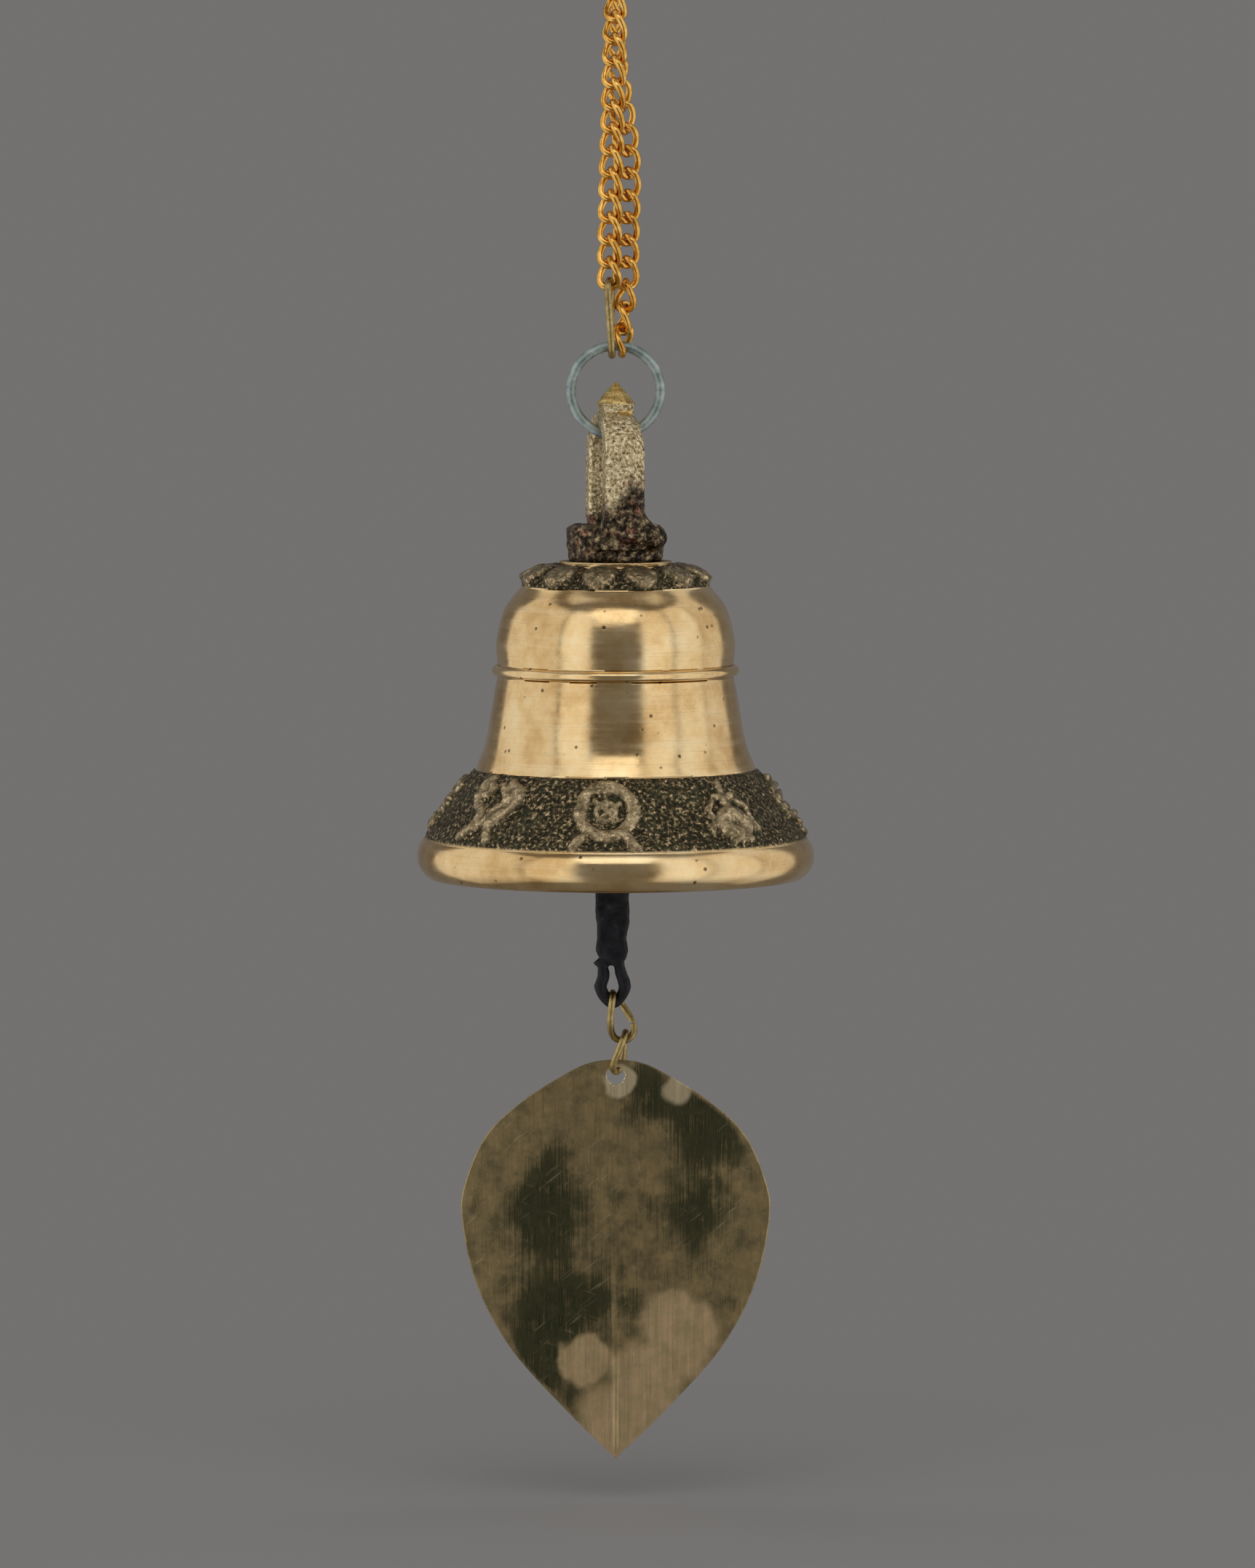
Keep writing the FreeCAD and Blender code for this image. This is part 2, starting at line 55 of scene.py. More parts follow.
# Bell body, as radius and height
BELL_COLUMNS = 720
CROWN_Z = 64.0
LIP = [(37.8, 0.0), (40.2, 3.6), (38.6, 8.1)]
BAND = [(38.6, 8.1), (34.9, 12.9), (31.3, 18.0), (28.4, 21.9)]
WAIST = [(28.4, 21.9), (26.4, 27.2), (25.1, 34.0), (23.9, 40.8)]
BEAD = [(23.9, 40.8), (25.0, 41.9), (23.9, 43.0)]
DOME = [(23.9, 43.0), (24.1, 48.0), (22.5, 54.3), (19.0, 59.0)]
SHOULDER = [(19.0, 59.0), (15.2, 61.6), (11.4, 62.7)]
FLANGE = [(11.4, 62.7), (11.4, CROWN_Z), (0.0, CROWN_Z)]
HOLLOW = [(0.0, 60.0), (10.0, 59.0), (17.6, 55.0), (21.0, 48.0), (21.9, 38.0), (23.6, 27.0),
          (27.0, 19.5), (32.4, 10.5), (34.4, 4.0), (34.8, 0.0)]
CAST_SKIN = 0.28
PETAL_SKIN = 0.35
MOTIF_START = math.radians(-93)
MOTIF_STEP = math.radians(45)
MOTIF_REACH = 9.5
MOTIF_DROP = 0.35
PETAL_START = math.radians(-101.5)
PETAL_STEP = math.radians(30)

# Handle
HANDLE_YAW = math.radians(14)
EYE_HALF_DEPTH = 5.0
PRONG_THICKNESS = 4.0
PRONG_RIDGE = 0.25
ARCH_Z = 85.45
COLLAR_TOP = 71.2
BAND_FOOT = 92.6
TIP_BASE = 95.9
TIP_TOP = 100.0

# Clapper
CLAPPER_X = -0.6
EYE_Z = 49.32
EYE_HALF_WIDTH = 2.45
EYE_BAND_R = 3.15
EYE_BAND_HALF_THICKNESS = 1.15
HOOK_BOTTOM = -26.9
HOOK_R = 1.175

# Leaf, with its outline as distance below the top and half width
LEAF_TOP = -37.21
LEAF_HALF_THICKNESS = 0.4
HOLE_BELOW_TOP = 3.3
HOLE_R = 1.88
LEAF_EDGE = [(0, 0), (0.7, 5.0), (2.8, 9.8), (8.4, 18.7), (15.4, 26.1), (24.7, 30.4), (32.5, 31.3),
             (46.1, 28.3), (59.5, 21.1), (72.4, 9.5), (81.6, 0)]

# Tarnish on the leaf: across, down, half width, half height, depth
STAINS = [(-12.5, 20, 4, 7, 0.7), (-15, 34, 8, 8, 0.7), (-9, 50, 11, 9, 0.9), (-16, 61, 5, 8, 0.8),
          (5, 9, 7, 6, 0.7), (20, 13, 10, 7, 0.6), (17, 33, 6, 6, 0.7), (22, 24, 8, 8, 0.3),
          (-16, 10, 13, 9, -0.7), (2, 32, 8, 16, -0.2), (24, 44, 7, 14, -0.25)]


# ---------------------------------------------------------------- shapes

def in_frame(points):
    """Millimetres above the mouth, as metres in the frame."""
    placed = np.asarray(points, float) * MM
    placed[..., 2] += mouth_z
    return placed


def smoothstep(low, high, value):
    share = np.clip((value - low) / (high - low), 0, 1)
    return share * share * (3 - 2 * share)


def bump_at(distance, radius):
    """1 at no distance, falling smoothly to 0 at the radius."""
    return 1 - smoothstep(0, 1, np.abs(distance) / radius)


def noise(points, size, seed):
    """Smooth noise from -1 to 1 that changes over about the size given."""
    table = np.random.default_rng(seed).uniform(-1, 1, 8191)
    scaled = np.asarray(points, float) / size
    cell = np.floor(scaled).astype(np.int64)
    part = scaled - cell
    part = part * part * (3 - 2 * part)
    total = np.zeros(scaled.shape[:-1])
    for corner in itertools.product((0, 1), repeat=3):
        offset = np.array(corner)
        weight = np.prod(np.where(offset, part, 1 - part), axis=-1)
        x, y, z = np.moveaxis(cell + offset, -1, 0)
        total += weight * table[(x * 73856093 + y * 19349663 + z * 83492791) % 8191]
    return total


def layered(points, size, seed, layers=3):
    """Noise with finer and weaker layers on it."""
    total = np.zeros(np.asarray(points).shape[:-1])
    for layer in range(layers):
        total += noise(points, size / 2 ** layer, seed + layer) / 2 ** layer
    return total / (2 - 2 ** (1 - layers))


def curve_through(points, count):
    """Evenly spaced points of a smooth curve through the points given."""
    points = np.asarray(points, float)
    before = 2 * points[0] - points[1]
    after = 2 * points[-1] - points[-2]
    padded = np.vstack([before, points, after])
    fine = []
    for i in range(1, len(padded) - 2):
        a, b, c, d = padded[i - 1:i + 3]
        for t in np.linspace(0, 1, 24, endpoint=False):
            fine.append(0.5 * (2 * b + (c - a) * t + (2 * a - 5 * b + 4 * c - d) * t ** 2
                               + (3 * b - a - 3 * c + d) * t ** 3))
    fine.append(points[-1])
    return spaced(np.array(fine), count)


def arc_through(start, middle, end, count):
    """Points of the circle arc through three points of a plane."""
    (ax, ay), (bx, by), (cx, cy) = start, middle, end
    d = 2 * (ax * (by - cy) + bx * (cy - ay) + cx * (ay - by))
    a2, b2, c2 = ax * ax + ay * ay, bx * bx + by * by, cx * cx + cy * cy
    ox = (a2 * (by - cy) + b2 * (cy - ay) + c2 * (ay - by)) / d
    oy = (a2 * (cx - bx) + b2 * (ax - cx) + c2 * (bx - ax)) / d
    r = math.hypot(ax - ox, ay - oy)
    first, last = math.atan2(ay - oy, ax - ox), math.atan2(cy - oy, cx - ox)
    turn = np.linspace(first, last, count)
    return np.stack([ox + r * np.cos(turn), oy + r * np.sin(turn)], -1)


def spaced(points, count):
    """The same line, with evenly spaced points."""
    points = np.asarray(points, float)
    run = np.concatenate([[0], np.cumsum(np.linalg.norm(np.diff(points, axis=0), axis=1))])
    at = np.linspace(0, run[-1], count)
    return np.stack([np.interp(at, run, points[:, i]) for i in range(points.shape[1])], -1)


def grid_faces(rows, columns, closed):
    """Quads of a grid of points, closed round its columns or not."""
    row, column = np.meshgrid(np.arange(rows - 1), np.arange(columns - (not closed)),
                              indexing="ij")
    along = (column + 1) % columns
    return np.stack([row * columns + column, row * columns + along,
                     (row + 1) * columns + along, (row + 1) * columns + column], -1).reshape(-1, 4)


def loft(sections):
    """Closed skin over a pile of closed sections, as points and faces."""
    sections = np.asarray(sections, float)
    rows, columns = sections.shape[:2]
    faces = [list(f) for f in grid_faces(rows, columns, True)]
    faces.append(list(range(columns))[::-1])
    faces.append(list(range((rows - 1) * columns, rows * columns)))
    return sections.reshape(-1, 3), faces


def tube(path, radius, sides=20):
    """Round bar along a path, with its ends closed."""
    path = np.asarray(path, float)
    radius = np.broadcast_to(radius, len(path))
    heading = np.gradient(path, axis=0)
    heading /= np.linalg.norm(heading, axis=1)[:, None]
    across = np.cross(heading, [0.0, 1.0, 0.01])
    across /= np.linalg.norm(across, axis=1)[:, None]
    other = np.cross(heading, across)
    turn = np.linspace(0, 2 * math.pi, sides, endpoint=False)
    rim = (across[:, None] * np.cos(turn)[None, :, None]
           + other[:, None] * np.sin(turn)[None, :, None])
    return loft(path[:, None] + rim * radius[:, None, None])


def lump(centre, radii):
    """Rounded blob of metal."""
    rise = np.linspace(-math.pi / 2 + 0.05, math.pi / 2 - 0.05, 16)
    turn = np.linspace(0, 2 * math.pi, 24, endpoint=False)
    rise, turn = np.meshgrid(rise, turn, indexing="ij")
    unit = np.stack([np.cos(rise) * np.cos(turn), np.cos(rise) * np.sin(turn), np.sin(rise)], -1)
    return loft(np.asarray(centre) + unit * np.asarray(radii))


def make_piece(name, points, faces):
    mesh = bpy.data.meshes.new(name)
    mesh.from_pydata(np.asarray(points).tolist(), [], [list(map(int, f)) for f in faces])
    mesh.update()
    piece = bpy.data.objects.new(name, mesh)
    bpy.context.scene.collection.objects.link(piece)
    return piece


def apply_modifiers(piece):
    graph = bpy.context.evaluated_depsgraph_get()
    mesh = bpy.data.meshes.new_from_object(piece.evaluated_get(graph))
    piece.modifiers.clear()
    piece.data = mesh


def one_skin(name, solids, voxel):
    """One even skin round several closed solids, given and made in millimetres."""
    points, faces, first = [], [], 0
    for solid_points, solid_faces in solids:
        points.append(solid_points)
        faces += [[v + first for v in f] for f in solid_faces]
        first += len(solid_points)
    piece = make_piece(name, np.vstack(points), faces)
    skin = piece.modifiers.new("skin", "REMESH")
    skin.mode = "VOXEL"
    skin.voxel_size = voxel
    apply_modifiers(piece)
    return piece


def vertex_array(mesh, what):
    values = np.empty(len(mesh.vertices) * 3, np.float32)
    mesh.vertices.foreach_get(what, values)
    return values.reshape(-1, 3).astype(float)


def finish_piece(piece, points, masks):
    """Puts the final points, in millimetres, and the masks that its material reads."""
    mesh = piece.data
    mesh.vertices.foreach_set("co", in_frame(points).astype(np.float32).ravel())
    for name, values in masks.items():
        layer = mesh.attributes.new(name, "FLOAT", "POINT")
        layer.data.foreach_set("value", np.clip(values, 0, 1).astype(np.float32).ravel())
    mesh.polygons.foreach_set("use_smooth", np.ones(len(mesh.polygons), bool))
    mesh.update()


# ---------------------------------------------------------------- bell body

def ridge(u, v, points, half_width, height):
    """Height of a rounded ridge along a line drawn on the band."""
    nearest = np.full(u.shape, 1e9)
    for (x0, y0), (x1, y1) in zip(points, points[1:]):
        dx, dy = x1 - x0, y1 - y0
        share = ((u - x0) * dx + (v - y0) * dy) / (dx * dx + dy * dy + 1e-9)
        share = np.clip(share, 0, 1)
        nearest = np.minimum(nearest, np.hypot(u - x0 - share * dx, v - y0 - share * dy))
    return height * np.sqrt(np.clip(1 - (nearest / half_width) ** 2, 0, 1))


def loop_line(x, y, across, high, start=0.0, sweep=360.0, count=22):
    """Points of an oval or of a part of one."""
    turn = np.radians(np.linspace(start, start + sweep, count))
    return [(x + across * math.cos(t), y + high * math.sin(t)) for t in turn]


def mirrored(strokes):
    """The strokes and their mirror images."""
    return strokes + [([(-x, y) for x, y in points], w, h) for points, w, h in strokes]


def wheel_motif():
    strokes = [(loop_line(0, 0.9, 5.4, 5.6), 1.35, 0.95), (loop_line(0, 1.0, 2.0, 2.2), 0.7, 0.8),
               ([(-2.4, 3.4), (0.4, 1.0), (-1.4, -1.4)], 0.65, 0.9),
               ([(2.5, 3.0), (0.6, 1.2), (1.9, -1.3)], 0.65, 0.85),
               ([(0, 4.6), (0, 2.4)], 0.6, 0.7)]
    return strokes + mirrored([([(3.3, -4.2), (5.0, -6.0), (6.9, -7.3)], 0.85, 0.95)])


def twin_fish_motif():
    left = [(4.6 - 0.4 * abs(t) + 1.9 * math.sin(t * 1.1), 2.2 * t) for t in np.linspace(-3, 3, 16)]
    return [(left, 1.35, 1.1), ([(x - 7.4, 0.7 - y) for x, y in left], 1.3, 1.05),
            ([(-2.0, -4.6), (0.8, -1.4), (3.0, 2.6), (1.0, 5.8)], 0.9, 0.9),
            (loop_line(-3.4, 5.0, 1.7, 1.3), 0.8, 1.0), (loop_line(4.2, 4.7, 1.6, 1.3), 0.8, 1.0)]


def vase_motif():
    return [(loop_line(0, -2.6, 2.6, 2.3), 1.9, 1.15), ([(0, 0.6), (0, 3.2)], 1.2, 1.0),
            ([(-2.2, 3.6), (2.2, 3.6)], 0.8, 1.0), ([(0, 4.4), (0, 6.6)], 0.8, 0.9),
            ([(-2.6, -6.4), (2.6, -6.4)], 0.8, 0.9)] + mirrored(
                [([(3.2, 2.6), (5.2, 0.8), (4.7, -2.0), (6.0, -4.4)], 0.7, 0.75)])


def lotus_motif():
    petals = mirrored([([(0, -4.6), (5.9, -1.6), (6.5, 0.6)], 1.1, 0.85),
                       ([(0, -4.4), (3.9, 0.2), (4.5, 3.2)], 1.2, 0.95)])
    return petals + [([(0, -4.6), (0, 5.2)], 1.7, 1.15), ([(-3.4, -6.4), (3.4, -6.4)], 0.7, 0.8)]


def shell_motif():
    spiral = [(0.4 * t * math.cos(1.5 * t) - 0.6, 0.42 * t * math.sin(1.5 * t) - 0.9)
              for t in np.linspace(1.2, 11.2, 46)]
    return [(spiral, 0.95, 1.0), ([(3.6, 1.6), (5.6, 4.2), (4.4, 6.4)], 1.2, 1.0)]


def parasol_motif():
    return [(loop_line(0, 0.8, 5.8, 4.4, 0, 180), 1.2, 1.1), ([(-5.6, 0.8), (5.6, 0.8)], 0.7, 0.8),
            ([(0, 5.4), (0, 6.9)], 0.8, 1.0), ([(0, 0.6), (0, -6.8)], 0.7, 0.9)] + mirrored(
                [([(3.6, 0.4), (4.2, -2.2), (3.2, -4.6)], 0.65, 0.75)])


def knot_motif():
    strokes = [([(s, abs(s) - 5.8), (s, 5.8 - abs(s))], 0.7, 0.9) for s in (-3.0, 0.0, 3.0)]
    strokes += [([(abs(s) - 5.8, s), (5.8 - abs(s), s)], 0.7, 0.95) for s in (-3.0, 0.0, 3.0)]
    return strokes + [(loop_line(x, y, 1.5, 1.5), 0.65, 0.9)
                      for x, y in ((4.3, 4.3), (-4.3, 4.3), (4.3, -4.3), (-4.3, -4.3))]


def banner_motif():
    bars = [([(-w, y), (w, y)], 1.05, 1.05)
            for w, y in ((1.2, 6.2), (2.6, 4.1), (3.3, 1.9), (2.8, -0.3), (2.2, -2.5), (1.4, -4.6))]
    return bars + [([(0, -5), (0, -7.4)], 0.7, 0.8)] + mirrored(
        [([(3.8, 3.8), (5.5, 1.2), (5.1, -2.4)], 0.65, 0.7)])


def motif_relief(angle, radius, along):
    """The eight raised motifs of the cast band; along is measured up the band from its middle."""
    motifs = [wheel_motif(), vase_motif(), banner_motif(), lotus_motif(), parasol_motif(),
              shell_motif(), knot_motif(), twin_fish_motif()]
    relief = np.zeros(angle.shape)
    place = np.stack([angle * 33, along, np.zeros(angle.shape)], -1)
    along = along + 0.45 * noise(place, 2.6, 13)
    angle = angle + 0.014 * noise(place, 2.4, 14)
    for number, strokes in enumerate(motifs):
        turn = angle - MOTIF_START - number * MOTIF_STEP
        across = (np.mod(turn + math.pi, 2 * math.pi) - math.pi) * radius
        near = np.abs(across) < MOTIF_REACH
        for points, half_width, height in strokes:
            relief[near] = np.maximum(relief[near], ridge(across[near], along[near] * 0.98, points,
                                                          half_width, height))
    return relief


def petal_relief(angle, share):
    """Lotus petals round the shoulder, from their tips (share 0) to the flange (share 1)."""
    turn = np.mod(angle - PETAL_START + PETAL_STEP / 2, PETAL_STEP) / PETAL_STEP * 2 - 1
    side = np.abs(turn)
    outline = 0.93 * np.sqrt(np.clip(1 - (1 - np.clip(share / 0.55, 0, 1)) ** 2.2, 0, 1))
    inside = np.clip(1 - side / np.maximum(outline, 1e-3), 0, 1)
    crown = 1.6 * np.sqrt(smoothstep(0, 0.75, inside)) * (1 - 0.6 * smoothstep(0.35, 1, share))
    dish = 0.45 * bump_at(side, 0.55) * bump_at(share - 0.55, 0.33)
    lip = 0.5 * bump_at(inside - 0.28, 0.25) * (1 - smoothstep(0.3, 0.8, share))
    return crown - dish + lip


def bell_rows():
    """Outline rows of the bell body from the mouth up and back down inside, with their zone."""
    zones = [("lip", arc_through(*LIP, 22)), ("band", curve_through(BAND, 64)),
             ("waist", curve_through(WAIST, 44)), ("bead", arc_through(*BEAD, 14)),
             ("dome", curve_through(DOME, 44)), ("petals", curve_through(SHOULDER, 40)),
             ("flange", spaced(FLANGE[:2], 4)), ("top", spaced(FLANGE[1:], 8)),
             ("hollow", curve_through(HOLLOW, 64)), ("rim", spaced([HOLLOW[-1], LIP[0]], 5))]
    names = [zone for zone, points in zones for _ in points]
    shares = np.concatenate([np.linspace(0, 1, len(points)) for _, points in zones])
    return np.array(names), shares, np.vstack([points for _, points in zones])


def bell_body():
    zone, share, outline = bell_rows()
    heading = np.gradient(outline, axis=0)
    for i in range(1, len(zone) - 1):
        if zone[i] != zone[i - 1]:
            heading[i] = outline[i + 1] - outline[i]
        if zone[i] != zone[i + 1]:
            heading[i] = outline[i] - outline[i - 1]
    heading /= np.maximum(np.linalg.norm(heading, axis=1), 1e-9)[:, None]
    outward = np.stack([heading[:, 1], -heading[:, 0]], -1)

    turn = np.linspace(0, 2 * math.pi, BELL_COLUMNS, endpoint=False)
    radius = np.repeat(outline[:, :1], BELL_COLUMNS, 1)
    height = np.repeat(outline[:, 1:], BELL_COLUMNS, 1)
    angle = np.repeat(turn[None], len(zone), 0)
    points = np.stack([radius * np.cos(angle), radius * np.sin(angle), height], -1)

    band = zone == "band"
    band_length = np.linalg.norm(np.diff(outline[band], axis=0), axis=1).sum()
    along = np.repeat(((share - 0.5) * band_length)[:, None], BELL_COLUMNS, 1)
    lift = np.zeros(radius.shape)
    relief = np.zeros(radius.shape)
    relief[band] = motif_relief(angle[band], radius[band], along[band] + MOTIF_DROP)
    wear = 1.08 + 0.38 * noise(points[band], 2.1, 11)
    sand = 0.13 * noise(points[band], 0.62, 3) + 0.09 * noise(points[band], 1.5, 4)
    edge = smoothstep(0, 0.05, share[band]) * smoothstep(0, 0.04, 1 - share[band])
    lift[band] = (CAST_SKIN + relief[band] * wear + sand) * edge[:, None]

    petals = zone == "petals"
    relief[petals] = petal_relief(angle[petals], np.repeat(share[petals][:, None], BELL_COLUMNS, 1))
    rough = 0.16 * noise(points[petals], 0.9, 5) + 0.22 * noise(points[petals], 2.6, 6)
    fade = smoothstep(0, 0.06, share[petals]) * smoothstep(0, 0.12, 1 - share[petals])
    lift[petals] = (PETAL_SKIN + relief[petals] + rough) * fade[:, None]
    hollow = (zone == "hollow") | (zone == "top")
    fade = smoothstep(0.02, 0.2, share[hollow])
    lift[hollow] = 0.1 * noise(points[hollow], 2.8, 8) * fade[:, None]
    turned = (zone == "waist") | (zone == "dome")
    lift[turned] = 0.02 * noise(points[turned] * [0.2, 0.2, 1], 1.2, 9)

    points[..., 0] += lift * outward[:, :1] * np.cos(angle)
    points[..., 1] += lift * outward[:, :1] * np.sin(angle)
    points[..., 2] += lift * outward[:, 1:]
    cast = np.zeros(radius.shape)
    cast[band | petals] = 1
    cast[zone == "hollow"] = 0.75
    cast[zone == "top"] = 0.9
    high = np.zeros(radius.shape)
    high[band] = smoothstep(0.15, 0.8, relief[band])
    high[petals] = smoothstep(0.5, 1.2, relief[petals]) * 0.8

    piece = make_piece("bell_casting", points.reshape(-1, 3),
                       grid_faces(len(zone), BELL_COLUMNS, True))
    finish_piece(piece, points.reshape(-1, 3), {"cast": cast, "high": high})
    weld = piece.modifiers.new("weld", "WELD")
    weld.merge_threshold = 1e-6
    apply_modifiers(piece)
    return piece


# ---------------------------------------------------------------- handle

def prong_section(centre, lean, half_width, half_thickness):
    """Section of the handle's bar: its width lies along X and its thickness along the lean."""
    w, t = half_width, half_thickness
    outline = [(-w, -t + 0.7), (-w + 0.5, -t), (w - 0.5, -t), (w, -t + 0.7), (w, t - 1.3),
               (w * 0.42, t + PRONG_RIDGE), (w * 0.1, t + PRONG_RIDGE * 0.6), (-w + 0.8, t),
               (-w, t - 0.7)]
    along = np.array([0, math.cos(lean), math.sin(lean)])
    return [np.asarray(centre) + np.array([x, 0, 0]) + along * d for x, d in outline]


def handle_bar():
    """Inverted U of bar: up the front prong, over the arch and down the back prong."""
    mean = EYE_HALF_DEPTH + PRONG_THICKNESS / 2
    half = PRONG_THICKNESS / 2
    stations = []
    for z, w, extra in ((66.5, 5.6, 0.9), (69.5, 5.5, 0.8), (71.5, 5.0, 0.5), (73.6, 4.4, 0.1),
                        (75.5, 4.15, 0), (80.0, 4.1, 0.05), (ARCH_Z - 1, 4.1, 0.1)):
        stations.append(((0.5 if z < 72 else 0, -mean, z), math.pi, w, half + extra))
    for degrees in range(10, 171, 10):
        lean = math.pi - math.radians(degrees)
        w = 4.1 - 0.5 * math.sin(math.radians(degrees)) ** 3
        centre = (0, mean * math.cos(lean), ARCH_Z + mean * math.sin(lean))
        stations.append((centre, lean, w, half + 0.1))
    for z, w, extra in ((ARCH_Z - 1, 4.1, 0.1), (80.0, 4.15, 0.05), (75.5, 4.3, 0.1),
                        (73.0, 4.1, 0.1), (71.5, 3.7, 0.2), (69.0, 4.4, 0.5), (66.5, 4.6, 0.6)):
        stations.append(((0, mean, z), 0.0, w, half + extra))
    return loft([prong_section(*station) for station in stations])


def turned_solid(outline):
    """Solid of revolution, given as radius and height."""
    turn = np.linspace(0, 2 * math.pi, 72, endpoint=False)
    return loft([[(r * math.cos(t), r * math.sin(t), z) for t in turn] for r, z in outline])


def square_solid(outline, corner=0.8):
    """Pile of squares with their corners cut off, given as half width and height.

    A smaller corner cuts off more.
    """
    def square(half, z):
        cut = half * corner
        corners = [(half, cut), (cut, half), (-cut, half), (-half, cut),
                   (-half, -cut), (-cut, -half), (cut, -half), (half, -cut)]
        return [(x, y, z) for x, y in corners]
    return loft([square(half, z) for half, z in outline])


def handle():
    collar = turned_solid([(9.2, CROWN_Z), (9.5, 64.6), (9.8, 67.0), (10.1, 69.2), (9.9, 70.5),
                           (9.0, COLLAR_TOP)])
    neck = square_solid([(3.2, BAND_FOOT - 1.5), (3.35, BAND_FOOT), (3.1, 93.6), (3.15, 94.6),
                         (3.5, TIP_BASE)])
    tip = square_solid([(3.3, TIP_BASE - 0.5), (3.55, TIP_BASE + 0.1), (2.2, 97.8), (0.8, 99.45),
                        (0.35, TIP_TOP)], 0.36)
    lumps = [lump((2.6, -7.6, 69.0), (6.0, 3.4, 3.0)), lump((-4.6, -7.2, 68.0), (2.3, 2.4, 2.1)),
             lump((6.6, -4.6, 69.2), (2.6, 3.4, 2.2)), lump((0.5, 7.4, 69.3), (4.8, 2.8, 2.7)),
             lump((-6.9, 1.5, 69.8), (2.5, 4.0, 1.7)), lump((5.9, 4.6, 69.9), (2.8, 2.8, 1.8))]
    piece = one_skin("handle_casting", [collar, handle_bar(), neck, tip] + lumps, 0.2)
    points = vertex_array(piece.data, "co")
    normals = vertex_array(piece.data, "normal")
    z = points[:, 2]
    filed = smoothstep(TIP_BASE - 0.35, TIP_BASE + 0.1, z)
    filed = np.maximum(filed, bump_at(z - 93.9, 0.7) * (points[:, 1] < -2.9) * (points[:, 0] > 0))
    foot = 1 - smoothstep(70, 76, z)
    near_ring = bump_at(np.hypot(points[:, 1], z - 89.4), 3.4)
    grit = 0.085 * noise(points, 0.55, 21) + 0.09 * noise(points, 1.3, 22)
    lumpy = foot * (0.42 * noise(points, 3.4, 23) + 0.2 * noise(points, 1.6, 24))
    points += normals * ((grit * (1 - 0.9 * filed) + lumpy) * (1 - near_ring))[:, None]

    edge = 80.0 + 2.2 * layered(points, 3.4, 31) - 4.0 * smoothstep(1.5, -3, points[:, 0])
    edge -= 3.0 * smoothstep(0, 4, points[:, 1])
    scorch = 1 - smoothstep(-1.6, 1.6, z - edge)
    copper = smoothstep(0.15, 0.5, layered(points, 2.0, 41)) * smoothstep(62, 74, z)
    copper *= 1 - smoothstep(-1.0, 2.0, z - edge)
    turned = points.copy()
    c, s = math.cos(HANDLE_YAW), math.sin(HANDLE_YAW)
    turned[:, 0] = points[:, 0] * c - points[:, 1] * s
    turned[:, 1] = points[:, 0] * s + points[:, 1] * c
    finish_piece(piece, turned, {"scorch": scorch, "copper": copper, "filed": filed})
    return piece


# ---------------------------------------------------------------- clapper

